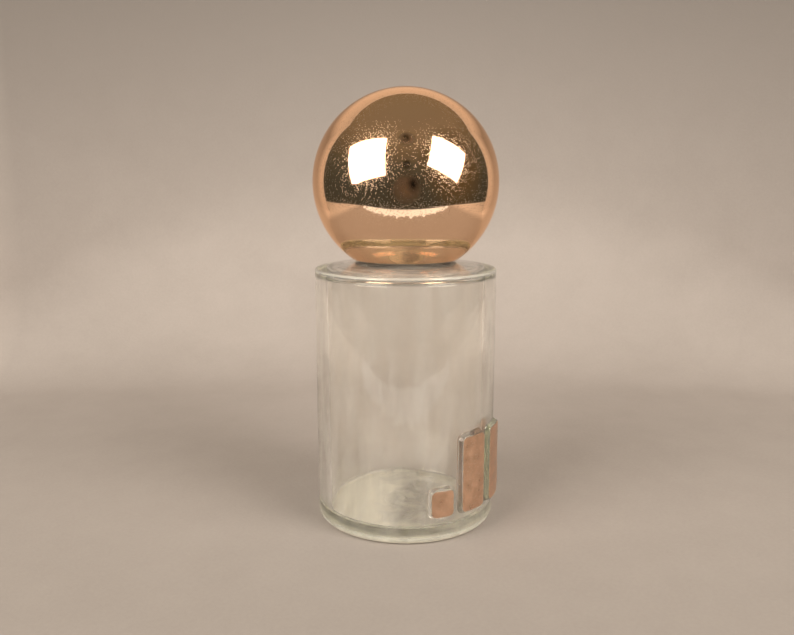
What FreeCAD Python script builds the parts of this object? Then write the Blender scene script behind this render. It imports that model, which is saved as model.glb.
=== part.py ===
"""Perfume bottle with a spherical screw cap, as a parametric FreeCAD document.

Frame: origin at the centre of the base, on the plane the bottle stands on.
+Z runs up the axis of the bottle and the cap. The raised bars face -Y.
Lengths are in millimetres and angles in degrees.
"""
import FreeCAD, Part
import math
import os
import re

import Sketcher
from FreeCAD import Placement, Rotation, Vector

# Driving dimensions, which become the cells of the sheet.
SIZES = {
    # glass body
    "body_radius": 26.5,
    "body_height": 74.8,
    "wall": 3.8,
    "base_thickness": 3.6,
    "shoulder_rise": 2.7,
    "shoulder_thickness": 2.0,
    "heel_round": 2.1,
    "shoulder_round": 0.7,
    "inner_shoulder_round": 1.8,
    "inner_floor_round": 1.6,
    "push_up_depth": 0.6,
    "push_up_flat": 18.0,
    "push_up_rim": 21.0,
    # neck finish: 18 mm over the thread, 8 threads to the inch
    "neck_radius": 7.7,
    "neck_height": 9.4,
    "neck_bore": 4.9,
    "neck_root_round": 0.9,
    "neck_lip_round": 0.5,
    "bore_mouth_round": 1.5,
    "thread_pitch": 3.175,
    "thread_turns": 1.0,
    "thread_rise": 4.5,
    "thread_crest": 8.8,
    "thread_crest_half": 0.45,
    "thread_slope": 0.54,
    "thread_root_depth": 0.2,
    # raised bars on the front of the body, with angles from the -Y direction
    "bar_relief": 1.45,
    "bar_bevel": 1.0,
    "bar_corner": 2.4,
    "bar_root_depth": 1.0,
    "bar_foot": 7.3,
    "tall_bar_top": 31.2,
    "tall_bar_near": 1.5,
    "tall_bar_far": 24.0,
    "short_bar_top": 17.0,
    "short_bar_near": 26.0,
    "short_bar_far": 44.0,
    "gilding_film": 0.1,
    "gilding_margin": 0.1,
    # orifice reducer
    "reducer_orifice": 1.25,
    "reducer_flange": 7.2,
    "reducer_flange_height": 0.8,
    "reducer_plate_depth": 1.0,
    "reducer_plug": 4.7,
    "reducer_plug_depth": 6.5,
    "reducer_cavity": 3.7,
    "reducer_rib": 0.18,
    "reducer_rib_half": 0.45,
    "reducer_rib_pitch": 1.7,
    # liner and threaded insert of the cap
    "seat_gap": 0.05,
    "liner_radius": 8.7,
    "liner_thickness": 1.0,
    "liner_edge": 0.15,
    "insert_radius": 10.8,
    "insert_recess": 0.2,
    "insert_bore": 9.05,
    "insert_thread_crest": 8.05,
    "insert_crest_half": 0.35,
    "insert_roof": 2.0,
    "insert_edge_round": 0.4,
    "insert_rib_reach": 0.25,
    "insert_rib_half": 0.5,
    "insert_rib_height": 7.0,
    # ball
    "ball_radius": 26.77,
    "ball_centre": 99.27,
    "ball_foot": 77.4,
    "ball_wall": 2.0,
    "ball_foot_round": 0.5,
    "lap_height": 2.4,
    "lap_radius": 25.7,
    "lap_gap": 0.05,
    "socket_gap": 0.05,
    "socket_roof": 1.5,
    "socket_wall": 1.8,
    "gusset_half": 0.6,
    "gusset_height": 9.0,
}

# Heights and radii that several sub-parts share, as expressions of the sizes.
NECK_TOP = "body_height + neck_height"
FLANGE_TOP = f"{NECK_TOP} + reducer_flange_height"
LINER_FOOT = f"{FLANGE_TOP} + seat_gap"
LINER_TOP = f"{LINER_FOOT} + liner_thickness"
INSERT_FOOT = "ball_foot + insert_recess"
INSERT_CEILING = f"{LINER_TOP} + seat_gap"
INSERT_TOP = f"{INSERT_CEILING} + insert_roof"
SOCKET_CEILING = f"{INSERT_TOP} + socket_gap"
SOCKET_BORE = "insert_radius + insert_rib_reach + socket_gap"
FLOOR_TOP = "ball_foot + ball_wall"
THREAD_START = "body_height + thread_rise"
DOME_RADIUS = "(body_radius^2 + shoulder_rise^2) / (2 * shoulder_rise)"
DOME_CENTRE = f"body_height + shoulder_rise - {DOME_RADIUS}"

REDUCER_RIBS = 3
INSERT_RIBS = 12
GUSSETS = 6
STEP_FOLDER = "parts"

doc = FreeCAD.newDocument("perfume_bottle")


# ---------------------------------------------------------------- the sheet
def make_sheet():
    """The sheet of driving dimensions, one aliased cell each."""
    made = doc.addObject("Spreadsheet::Sheet", "Sizes")
    for row, (alias, value) in enumerate(SIZES.items(), start=1):
        made.set(f"A{row}", alias)
        made.set(f"B{row}", str(value))
        made.setAlias(f"B{row}", alias)
    doc.recompute()
    return made


sheet = make_sheet()


def bound(text):
    """The expression with the sheet's name put before each alias."""
    def prefix(match):
        word = match.group()
        return f"Sizes.{word}" if word in SIZES else word
    return re.sub(r"[a-z][a-z_]*", prefix, text)


def value_of(text):
    """The number that an expression of aliases stands for."""
    found = sheet.evalExpression(bound(text))
    return float(getattr(found, "Value", found))


# ---------------------------------------------------------------- sketching
def new_body(label):
    """An empty body, labelled with the name of the sub-part."""
    body = doc.addObject("PartDesign::Body", label)
    body.Label = label
    body.Placement = Placement()
    return body


def origin_plane(body, role):
    """One of the body's own origin planes."""
    for feature in body.Origin.OriginFeatures:
        if feature.Role == role:
            return feature
    raise ValueError(f"{body.Label} has no {role}")


def new_sketch(body, name, role="XZ_Plane", azimuth=None, height=None):
    """A sketch on an origin plane, turned about +Z or raised along it if asked."""
    sketch = body.newObject("Sketcher::SketchObject", name)
    sketch.AttachmentSupport = [(origin_plane(body, role), "")]
    sketch.MapMode = "FlatFace"
    if azimuth is not None:
        sketch.AttachmentOffset = Placement(Vector(), Rotation(Vector(0, 1, 0), 1))
        sketch.setExpression("AttachmentOffset.Rotation.Angle", bound(azimuth))
    if height is not None:
        sketch.setExpression("AttachmentOffset.Base.z", bound(height))
    return sketch


def pin_point(sketch, edge, end, corner):
    """Bind one end of an edge to a pair of expressions."""
    for kind, axis, text in (("DistanceX", -2, corner[0]), ("DistanceY", -1, corner[1])):
        if text == "0":
            sketch.addConstraint(Sketcher.Constraint("PointOnObject", edge, end, axis))
            continue
        rule = Sketcher.Constraint(kind, -1, 1, edge, end, value_of(text))
        index = sketch.addConstraint(rule)
        sketch.setExpression(f"Constraints[{index}]", bound(text))


def end_at(sketch, edge, point):
    """Which end of an edge, 1 or 2, lies at the point."""
    start_gap = (sketch.getPoint(edge, 1) - point).Length
    finish_gap = (sketch.getPoint(edge, 2) - point).Length
    return 1 if start_gap <= finish_gap else 2


def draw_outline(sketch, corners, arcs=None):
    """A closed outline through the corners, each a pair of expressions.

    arcs names the edges that are arcs about a point on the sketch's vertical
    axis: the edge's index, then the expressions of the radius and of the
    centre's height.
    """
    arcs = arcs or {}
    points = [Vector(value_of(across), value_of(up), 0) for across, up in corners]
    following = points[1:] + points[:1]
    for index, (start, finish) in enumerate(zip(points, following)):
        if index not in arcs:
            sketch.addGeometry(Part.LineSegment(start, finish))
            continue
        radius, height = (value_of(text) for text in arcs[index])
        centre = Vector(0, height, 0)
        outward = (start + finish) * 0.5 - centre
        sketch.addGeometry(Part.Arc(start, centre + outward.normalize() * radius, finish))
    for index, corner in enumerate(corners):
        before = index - 1 if index else len(corners) - 1
        here = end_at(sketch, index, points[index])
        there = end_at(sketch, before, points[index])
        sketch.addConstraint(Sketcher.Constraint("Coincident", before, there, index, here))
        pin_point(sketch, index, here, corner)
    for index, (radius, _) in arcs.items():
        rule = sketch.addConstraint(Sketcher.Constraint("Radius", index, value_of(radius)))
        sketch.setExpression(f"Constraints[{rule}]", bound(radius))


# ---------------------------------------------------------------- features
def revolve(body, name, corners, arcs=None, azimuth=None, sweep="360", midplane=False):
    """Turn an outline, drawn as radius and height, about the Z axis."""
    sketch = new_sketch(body, f"{name}_outline", azimuth=azimuth)
    draw_outline(sketch, corners, arcs)
    feature = body.newObject("PartDesign::Revolution", name)
    feature.Profile = sketch
    feature.ReferenceAxis = (sketch, ["V_Axis"])
    feature.Midplane = midplane
    feature.setExpression("Angle", bound(sweep))
    doc.recompute()
    return feature


def thread(body, name, corners, azimuth=None):
    """Sweep a ridge's section up a right-hand helix about the Z axis."""
    sketch = new_sketch(body, f"{name}_section", azimuth=azimuth)
    draw_outline(sketch, corners)
    feature = body.newObject("PartDesign::AdditiveHelix", name)
    feature.Profile = sketch
    feature.ReferenceAxis = (sketch, ["V_Axis"])
    feature.Mode = "pitch-height-angle"
    feature.setExpression("Pitch", bound("thread_pitch"))
    feature.setExpression("Height", bound("thread_pitch * thread_turns"))
    feature.LeftHanded = False
    feature.Reversed = False
    doc.recompute()
    return feature


def pad(body, name, sketch, length, midplane=False):
    """Push a sketch out by a length."""
    feature = body.newObject("PartDesign::Pad", name)
    feature.Profile = sketch
    feature.Midplane = midplane
    feature.setExpression("Length", bound(length))
    doc.recompute()
    return feature


def repeat_about_axis(body, name, original, count):
    """Copies of a feature spaced evenly about the Z axis."""
    pattern = body.newObject("PartDesign::PolarPattern", name)
    pattern.Originals = [original]
    pattern.Axis = (original.Profile[0], ["V_Axis"])
    pattern.Angle = 360
    pattern.Occurrences = count
    body.Tip = pattern
    doc.recompute()
    return pattern


def edges_where(shape, test):
    """The names of a shape's edges that pass a test."""
    return [f"Edge{i}" for i, edge in enumerate(shape.Edges, start=1) if test(edge)]


def is_ring(radius, height):
    """A test for the full circle about Z at a radius and a height."""
    wanted_radius = value_of(radius)
    wanted_height = value_of(height)

    def test(edge):
        curve = edge.Curve
        if curve.TypeId != "Part::GeomCircle" or not edge.isClosed():
            return False
        off_radius = abs(curve.Radius - wanted_radius)
        off_height = abs(curve.Center.z - wanted_height)
        return off_radius < 1e-4 and off_height < 1e-4
    return test


def dress(body, kind, name, base, edges, size):
    """Round (Fillet) or bevel (Chamfer) the named edges of a feature."""
    if not edges:
        raise ValueError(f"{name} found no edges")
    feature = body.newObject(f"PartDesign::{kind}", name)
    feature.Base = (base, edges)
    feature.setExpression("Radius" if kind == "Fillet" else "Size", bound(size))
    doc.recompute()
    return feature


def round_rings(body, base, rings):
    """Round full circles, each given as name, radius, height and round."""
    for name, radius, height, size in rings:
        edges = edges_where(base.Shape, is_ring(radius, height))
        base = dress(body, "Fillet", name, base, edges, size)
    return base


# ---------------------------------------------------------------- the bars
def front_azimuths(near, far):
    """Where a bar's middle lies on each side of -Y, as two expressions."""
    middle = f"({near} + {far}) / 2"
    return (("left", f"-90 - {middle}"), ("right", f"-90 + {middle}"))


BARS = [
    (f"{size}_{side}", azimuth, f"{size}_bar_far - {size}_bar_near", f"{size}_bar_top")
    for size in ("tall", "short")
    for side, azimuth in front_azimuths(f"{size}_bar_near", f"{size}_bar_far")
]


def is_radial_between(inner, outer, azimuth, sweep):
    """A test for the short straight edges across a bar's thickness."""
    low = value_of(inner)
    high = value_of(outer)
    middle = value_of(azimuth)
    reach = value_of(sweep) / 2 + 0.5

    def test(edge):
        if edge.Curve.TypeId != "Part::GeomLine":
            return False
        ends = [math.hypot(vertex.X, vertex.Y) for vertex in edge.Vertexes]
        level = abs(edge.Vertexes[0].Z - edge.Vertexes[1].Z) < 1e-6
        if not level or abs(min(ends) - low) > 1e-3 or abs(max(ends) - high) > 1e-3:
            return False
        point = edge.CenterOfMass
        turn = math.degrees(math.atan2(point.y, point.x)) - middle
        turn = (turn + 180) % 360 - 180
        return abs(turn) < reach
    return test


def is_on_rim(radius, azimuth, sweep):
    """A test for the edges round a bar's outer face."""
    wanted = value_of(radius)
    middle = value_of(azimuth)
    reach = value_of(sweep) / 2 + 0.5

    def test(edge):
        gaps = [abs(math.hypot(v.X, v.Y) - wanted) for v in edge.Vertexes]
        point = edge.CenterOfMass
        turn = math.degrees(math.atan2(point.y, point.x)) - middle
        turn = (turn + 180) % 360 - 180
        return max(gaps) < 1e-3 and abs(turn) < reach
    return test


def add_bar(body, base, name, azimuth, sweep, top):
    """One raised bar with round corners and a bevelled rim."""
    root = "body_radius - bar_root_depth"
    face = "body_radius + bar_relief"
    corners = [(root, "bar_foot"), (face, "bar_foot"), (face, top), (root, top)]
    slab = revolve(body, f"bar_{name}", corners, azimuth=azimuth, sweep=sweep, midplane=True)
    across = is_radial_between("body_radius", face, azimuth, sweep)
    edges = edges_where(slab.Shape, across)
    slab = dress(body, "Fillet", f"bar_{name}_corners", slab, edges, "bar_corner")
    edges = edges_where(slab.Shape, is_on_rim(face, azimuth, sweep))
    return dress(body, "Chamfer", f"bar_{name}_bevel", slab, edges, "bar_bevel")


# ---------------------------------------------------------------- sub-parts
def dome_height(radius, depth="0"):
    """The height of the domed shoulder, or of the dome a depth below it."""
    return f"{DOME_CENTRE} + sqrt(({DOME_RADIUS} - {depth})^2 - ({radius})^2)"


def make_bottle():
    """The clear glass: body, domed shoulder, threaded neck and raised bars."""
    body = new_body("bottle")
    inside = "body_radius - wall"
    neck_foot = dome_height("neck_radius")
    bore_foot = dome_height("neck_bore", "shoulder_thickness")
    ceiling = dome_height(inside, "shoulder_thickness")
    blank = revolve(body, "blank", [
        ("0", "push_up_depth"),
        ("push_up_flat", "push_up_depth"),
        ("push_up_rim", "0"),
        ("body_radius", "0"),
        ("body_radius", "body_height"),
        ("neck_radius", neck_foot),
        ("neck_radius", NECK_TOP),
        ("neck_bore", NECK_TOP),
        ("neck_bore", bore_foot),
        (inside, ceiling),
        (inside, "base_thickness"),
        ("0", "base_thickness"),
    ], arcs={
        4: (DOME_RADIUS, DOME_CENTRE),
        8: (f"{DOME_RADIUS} - shoulder_thickness", DOME_CENTRE),
    })
    shaped = round_rings(body, blank, [
        ("heel", "body_radius", "0", "heel_round"),
        ("shoulder_edge", "body_radius", "body_height", "shoulder_round"),
        ("neck_root", "neck_radius", neck_foot, "neck_root_round"),
        ("neck_lip", "neck_radius", NECK_TOP, "neck_lip_round"),
        ("bore_mouth", "neck_bore", bore_foot, "bore_mouth_round"),
        ("inner_shoulder", inside, ceiling, "inner_shoulder_round"),
        ("inner_floor", inside, "base_thickness", "inner_floor_round"),
    ])
    for name, azimuth, sweep, top in BARS:
        shaped = add_bar(body, shaped, name, azimuth, sweep, top)
    root = "neck_radius - thread_root_depth"
    root_half = f"thread_crest_half + (thread_crest - ({root})) * thread_slope"
    thread(body, "neck_thread", [
        (root, f"{THREAD_START} - ({root_half})"),
        ("thread_crest", f"{THREAD_START} - thread_crest_half"),
        ("thread_crest", f"{THREAD_START} + thread_crest_half"),
        (root, f"{THREAD_START} + {root_half}"),
    ])
    return body


def make_gilding(name, azimuth, sweep, top):
    """The copper film on the face of one raised bar."""
    body = new_body(f"gilding_{name}")
    inner = "body_radius + bar_relief"
    outer = f"{inner} + gilding_film"
    inset = "(bar_bevel + gilding_margin)"
    low = f"bar_foot + {inset}"
    high = f"{top} - {inset}"
    film_sweep = f"{sweep} - 2 * {inset} / ({inner}) * 180 / pi"
    corners = [(inner, low), (outer, low), (outer, high), (inner, high)]
    film = revolve(body, "film", corners, azimuth=azimuth, sweep=film_sweep, midplane=True)
    across = is_radial_between(inner, outer, azimuth, film_sweep)
    edges = edges_where(film.Shape, across)
    dress(body, "Fillet", "film_corners", film, edges, f"bar_corner - {inset}")
    return body


def make_reducer():
    """The plastic orifice reducer pressed into the neck."""
    body = new_body("orifice_reducer")
    plate_foot = f"{NECK_TOP} - reducer_plate_depth"
    plug_foot = f"{NECK_TOP} - reducer_plug_depth"
    plug = revolve(body, "plug", [
        ("reducer_orifice", plate_foot),
        ("reducer_cavity", plate_foot),
        ("reducer_cavity", plug_foot),
        ("reducer_plug", plug_foot),
        ("reducer_plug", NECK_TOP),
        ("reducer_flange", NECK_TOP),
        ("reducer_flange", FLANGE_TOP),
        ("reducer_orifice", FLANGE_TOP),
    ])
    shaped = round_rings(body, plug, [
        ("flange_edge", "reducer_flange", FLANGE_TOP, "reducer_flange_height / 3"),
        ("orifice_edge", "reducer_orifice", FLANGE_TOP, "reducer_flange_height / 3"),
    ])
    for index in range(REDUCER_RIBS):
        middle = f"{plug_foot} + reducer_rib_pitch * {index + 0.5}"
        shaped = revolve(body, f"seal_rib_{index + 1}", [
            ("reducer_plug - reducer_rib", f"{middle} - reducer_rib_half"),
            ("reducer_plug + reducer_rib", middle),
            ("reducer_plug - reducer_rib", f"{middle} + reducer_rib_half"),
        ])
    return body


def make_liner():
    """The foam sealing disc that lies loose under the insert's roof."""
    body = new_body("cap_liner")
    disc = revolve(body, "disc", [
        ("0", LINER_FOOT),
        ("liner_radius", LINER_FOOT),
        ("liner_radius", LINER_TOP),
        ("0", LINER_TOP),
    ])
    round_rings(body, disc, [
        ("lower_edge", "liner_radius", LINER_FOOT, "liner_edge"),
        ("upper_edge", "liner_radius", LINER_TOP, "liner_edge"),
    ])
    return body


def make_insert():
    """The threaded cup that holds the ball on the neck."""
    body = new_body("cap_insert")
    cup = revolve(body, "cup", [
        ("insert_bore", INSERT_FOOT),
        ("insert_radius", INSERT_FOOT),
        ("insert_radius", INSERT_TOP),
        ("0", INSERT_TOP),
        ("0", INSERT_CEILING),
        ("insert_bore", INSERT_CEILING),
    ])
    round_rings(body, cup, [
        ("skirt_edge", "insert_radius", INSERT_FOOT, "insert_edge_round"),
        ("roof_edge", "insert_radius", INSERT_TOP, "insert_edge_round"),
    ])
    rib_sketch = new_sketch(body, "grip_rib_outline", azimuth="0")
    reach = "insert_radius + insert_rib_reach"
    draw_outline(rib_sketch, [
        ("insert_bore + insert_rib_half", FLOOR_TOP),
        (reach, FLOOR_TOP),
        (reach, f"{FLOOR_TOP} + insert_rib_height"),
        ("insert_bore + insert_rib_half", f"{FLOOR_TOP} + insert_rib_height"),
    ])
    rib = pad(body, "grip_rib", rib_sketch, "2 * insert_rib_half", midplane=True)
    repeat_about_axis(body, "grip_ribs", rib, INSERT_RIBS)
    root = "insert_bore + thread_root_depth"
    root_half = f"insert_crest_half + ({root} - insert_thread_crest) * thread_slope"
    thread(body, "cap_thread", [
        ("insert_thread_crest", f"{THREAD_START} - insert_crest_half"),
        (root, f"{THREAD_START} - ({root_half})"),
        (root, f"{THREAD_START} + {root_half}"),
        ("insert_thread_crest", f"{THREAD_START} + insert_crest_half"),
    ], azimuth="180")
    return body


def on_sphere(radius, height):
    """The distance from the axis to a sphere about the ball's centre."""
    return f"sqrt(({radius})^2 - (({height}) - ball_centre)^2)"


def make_lower_shell():
    """The ball's lower half, with the socket that holds the insert."""
    body = new_body("ball_lower_shell")
    inner = "ball_radius - ball_wall"
    lap_top = "ball_centre + lap_height"
    socket = f"{SOCKET_BORE} + socket_wall"
    socket_top = f"{SOCKET_CEILING} + socket_roof"
    shell = revolve(body, "shell", [
        (SOCKET_BORE, "ball_foot"),
        (on_sphere("ball_radius", "ball_foot"), "ball_foot"),
        ("ball_radius", "ball_centre"),
        ("lap_radius", "ball_centre"),
        ("lap_radius", lap_top),
        (on_sphere(inner, lap_top), lap_top),
        (on_sphere(inner, FLOOR_TOP), FLOOR_TOP),
        (socket, FLOOR_TOP),
        (socket, socket_top),
        ("0", socket_top),
        ("0", SOCKET_CEILING),
        (SOCKET_BORE, SOCKET_CEILING),
    ], arcs={
        1: ("ball_radius", "ball_centre"),
        5: (inner, "ball_centre"),
    })
    round_rings(body, shell, [
        ("foot_edge", on_sphere("ball_radius", "ball_foot"), "ball_foot", "ball_foot_round"),
    ])
    web_sketch = new_sketch(body, "gusset_outline", azimuth="0")
    low = "ball_foot + ball_wall / 2"
    high = f"{low} + gusset_height"
    in_wall = "ball_radius - ball_wall / 2"
    start = f"{SOCKET_BORE} + socket_wall / 2"
    draw_outline(web_sketch, [
        (start, low),
        (on_sphere(in_wall, low), low),
        (on_sphere(in_wall, high), high),
        (start, high),
    ])
    web = pad(body, "gusset", web_sketch, "2 * gusset_half", midplane=True)
    repeat_about_axis(body, "gussets", web, GUSSETS)
    return body


def make_upper_shell():
    """The ball's upper half, which laps over the lower one at the equator."""
    body = new_body("ball_upper_shell")
    inner = "ball_radius - ball_wall"
    rebate_top = "ball_centre + lap_height + lap_gap"
    rebate = "lap_radius + lap_gap"
    revolve(body, "shell", [
        (rebate, "ball_centre"),
        ("ball_radius", "ball_centre"),
        ("0", "ball_centre + ball_radius"),
        ("0", f"ball_centre + {inner}"),
        (on_sphere(inner, rebate_top), rebate_top),
        (rebate, rebate_top),
    ], arcs={
        1: ("ball_radius", "ball_centre"),
        3: (inner, "ball_centre"),
    })
    return body


# ---------------------------------------------------------------- the whole
def check_document():
    """Stop if any object failed or any sketch still has freedom."""
    doc.recompute()
    for found in doc.Objects:
        if {"Invalid", "Error"} & set(found.State):
            raise RuntimeError(f"{found.Label} is {found.State}")
        if found.TypeId == "Sketcher::SketchObject" and not found.FullyConstrained:
            raise RuntimeError(f"{found.Label} is not fully constrained")


def export(body):
    """Write a sub-part that is one valid solid to its own STEP file."""
    shape = body.Shape
    if shape.isNull() or not shape.isValid() or len(shape.Solids) != 1:
        raise RuntimeError(f"{body.Label} is not one valid solid")
    shape.exportStep(os.path.join(STEP_FOLDER, f"{body.Label}.step"))
    box = shape.optimalBoundingBox()
    print(f"{body.Label:22s} {shape.Volume:10.1f} mm3   z {box.ZMin:7.2f} to {box.ZMax:7.2f}")


def main():
    """Build every sub-part, check the document and write the files."""
    os.makedirs(STEP_FOLDER, exist_ok=True)
    bodies = [make_bottle(), make_reducer(), make_liner(), make_insert()]
    bodies += [make_gilding(*bar) for bar in BARS]
    bodies += [make_lower_shell(), make_upper_shell()]
    check_document()
    for body in bodies:
        export(body)


main()
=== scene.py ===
"""Perfume bottle with a spherical screw cap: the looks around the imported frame.

Metres throughout, in the frame of the CAD model: +Z up, the raised bars face -Y.
"""
import math

import bmesh
import bpy
import numpy as np
from mathutils import Euler, Matrix, Vector


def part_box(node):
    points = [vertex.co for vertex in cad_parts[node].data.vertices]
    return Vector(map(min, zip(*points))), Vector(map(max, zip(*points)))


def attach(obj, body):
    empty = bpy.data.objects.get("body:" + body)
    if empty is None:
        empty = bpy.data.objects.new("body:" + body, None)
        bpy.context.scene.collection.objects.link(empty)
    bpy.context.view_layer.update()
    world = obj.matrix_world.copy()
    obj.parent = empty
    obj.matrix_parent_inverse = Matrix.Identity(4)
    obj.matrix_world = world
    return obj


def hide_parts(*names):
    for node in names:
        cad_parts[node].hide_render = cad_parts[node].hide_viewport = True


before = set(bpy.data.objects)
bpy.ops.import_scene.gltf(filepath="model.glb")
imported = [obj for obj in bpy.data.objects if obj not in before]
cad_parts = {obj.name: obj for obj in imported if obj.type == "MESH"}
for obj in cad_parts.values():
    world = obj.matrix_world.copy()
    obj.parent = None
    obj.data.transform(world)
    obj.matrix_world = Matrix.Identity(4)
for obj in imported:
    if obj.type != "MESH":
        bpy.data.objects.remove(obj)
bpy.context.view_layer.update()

MM = 0.001

# ---------------------------------------------------------------- sizes from the frame
BOTTLE_HIGH = Vector(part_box("bottle")[1])
FOOT_LOW = Vector(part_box("ball_lower_shell")[0])
CROWN_HIGH = Vector(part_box("ball_upper_shell")[1])
INSERT_LOW, INSERT_HIGH = (Vector(corner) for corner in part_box("cap_insert"))
LINER_LOW, LINER_HIGH = (Vector(corner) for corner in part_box("cap_liner"))
REDUCER_LOW, REDUCER_HIGH = (Vector(corner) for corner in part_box("orifice_reducer"))
TALL_LOW, TALL_HIGH = (Vector(corner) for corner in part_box("gilding_tall_left"))
SHORT_HIGH = Vector(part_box("gilding_short_left")[1])

BODY_R = BOTTLE_HIGH.x
NECK_TOP = BOTTLE_HIGH.z
NECK_HEIGHT = 9.4 * MM
SHOULDER_Z = NECK_TOP - NECK_HEIGHT
WALL = 3.8 * MM
BASE = 3.6 * MM
SHOULDER_THICK = 2.0 * MM
INNER_R = BODY_R - WALL
DOME_RISE = 2.7 * MM
DOME_R = (BODY_R ** 2 + DOME_RISE ** 2) / (2 * DOME_RISE)
DOME_Z = SHOULDER_Z + DOME_RISE - DOME_R
NECK_R = 7.7 * MM
BORE_R = 4.9 * MM
PUSH_UP = 0.6 * MM
PUSH_UP_R = 18 * MM
FOOT_R = 21 * MM
HEEL_ROUND = 2.1 * MM
BROW_ROUND = 0.7 * MM

THREAD_PITCH = 3.175 * MM
THREAD_TURNS = 1.0
THREAD_RISE = 4.5 * MM
THREAD_CREST = 8.8 * MM
THREAD_CREST_HALF = 0.45 * MM
THREAD_SLOPE = 0.54
THREAD_FADE = math.radians(28)

RELIEF = 1.45 * MM
BEVEL = 1.0 * MM
BAR_CORNER = 2.4 * MM
BAR_INSET = 1.1 * MM
BAR_FOOT = TALL_LOW.z - BAR_INSET
TALL_TOP = TALL_HIGH.z + BAR_INSET
SHORT_TOP = SHORT_HIGH.z + BAR_INSET
FRONT = math.radians(-90)
TALL_SPAN = (math.radians(1.5), math.radians(24.0))
SHORT_SPAN = (math.radians(26.0), math.radians(44.0))

BALL_R = CROWN_HIGH.x
BALL_Z = CROWN_HIGH.z - BALL_R
BALL_FOOT_Z = FOOT_LOW.z
BALL_WALL = 2.0 * MM
BALL_INNER = BALL_R - BALL_WALL
LAP_R = 25.7 * MM
LAP_TOP = BALL_Z + 2.4 * MM
FIT_GAP = 0.05 * MM
SOCKET_WALL = 1.8 * MM
SOCKET_ROOF = 1.5 * MM

# ---------------------------------------------------------------- outlines and lathes
def dense_path(corners, rounds, spacing, arc_step=math.radians(9)):
    """An open outline of (radius, height) points with its corners rounded.

    rounds maps a corner's index to its radius. Straight runs are divided to
    the spacing, a length or a function of the point.
    """
    points = [Vector(corner) for corner in corners]
    stops = []
    for index, corner in enumerate(points):
        radius = rounds.get(index, 0)
        if not radius:
            stops.append([corner])
            continue
        back = (points[index - 1] - corner).normalized()
        ahead = (points[index + 1] - corner).normalized()
        opening = back.angle(ahead)
        reach = radius / math.tan(opening / 2)
        centre = corner + (back + ahead).normalized() * radius / math.sin(opening / 2)
        start = corner + back * reach - centre
        finish = corner + ahead * reach - centre
        turn = start.angle_signed(finish)
        steps = max(3, math.ceil(abs(turn) / arc_step))
        arc = []
        for step in range(steps + 1):
            angle = math.atan2(start.y, start.x) - turn * step / steps
            arc.append(centre + Vector((math.cos(angle), math.sin(angle))) * radius)
        stops.append(arc)
    path = list(stops[0])
    for arc in stops[1:]:
        path += run_between(path[-1], arc[0], spacing)
        path += arc
    return path


def run_between(start, finish, spacing):
    """Points strictly between two others, at about the spacing."""
    inner = []
    length = (finish - start).length
    done = 0.0
    while True:
        here = start.lerp(finish, done / length) if length else start
        done += spacing(here) if callable(spacing) else spacing
        if done > length * 0.999 or length == 0:
            return inner
        inner.append(start.lerp(finish, done / length))


def even_angles(count):
    """Angles spaced evenly round the axis."""
    return np.linspace(0, 2 * math.pi, count, endpoint=False)


def lathe(name, path, angles, shape=None, closed=False):
    """A mesh turned about Z. shape(radius, height, angle) may move the points.

    An open path starts and ends on the axis. A closed one is a ring's section.
    """
    rows = np.array([[p[0], p[1]] for p in path])
    radius = np.repeat(rows[:, :1], len(angles), axis=1)
    height = np.repeat(rows[:, 1:], len(angles), axis=1)
    turn = np.repeat(angles[None, :], len(rows), axis=0)
    if shape is not None:
        radius, height = shape(radius, height, turn)
    verts = np.stack([radius * np.cos(turn), radius * np.sin(turn), height], axis=-1)
    count, columns = radius.shape
    grid = np.arange(count * columns).reshape(count, columns)
    verts = verts.reshape(-1, 3)
    faces = []
    first, last = (0, count) if closed else (1, count - 2)
    for row in range(first, last):
        low = grid[row]
        high = grid[(row + 1) % count]
        faces.append(np.stack([low, np.roll(low, -1), np.roll(high, -1), high], axis=-1))
    quads = np.concatenate(faces).tolist()
    if not closed:
        start, finish = grid[0][0], grid[-1][0]
        ring = grid[1]
        quads += [[start, b, a] for a, b in zip(ring.tolist(), np.roll(ring, -1).tolist())]
        ring = grid[-2]
        quads += [[finish, a, b] for a, b in zip(ring.tolist(), np.roll(ring, -1).tolist())]
    mesh = bpy.data.meshes.new(name)
    mesh.from_pydata(verts.tolist(), [], quads)
    piece = bpy.data.objects.new(name, mesh)
    bpy.context.scene.collection.objects.link(piece)
    drop_loose(piece)
    return piece


def drop_loose(piece):
    """Remove vertices that no face uses, as the spare ones at the poles."""
    mesh = piece.data
    used = np.zeros(len(mesh.vertices), bool)
    corner_verts = np.zeros(len(mesh.loops), int)
    mesh.loops.foreach_get("vertex_index", corner_verts)
    used[corner_verts] = True
    if used.all():
        return
    renumber = np.cumsum(used) - 1
    coords = np.zeros(len(mesh.vertices) * 3)
    mesh.vertices.foreach_get("co", coords)
    kept = coords.reshape(-1, 3)[used]
    faces = [[int(renumber[v]) for v in face.vertices] for face in mesh.polygons]
    mesh.clear_geometry()
    mesh.from_pydata(kept.tolist(), [], faces)


def smooth(piece, angle=math.radians(35)):
    """Shade smooth, with the edges that turn by more than the angle sharp."""
    mesh = piece.data
    mesh.shade_smooth()
    mesh.set_sharp_from_angle(angle=angle)
    mesh.validate()


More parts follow.
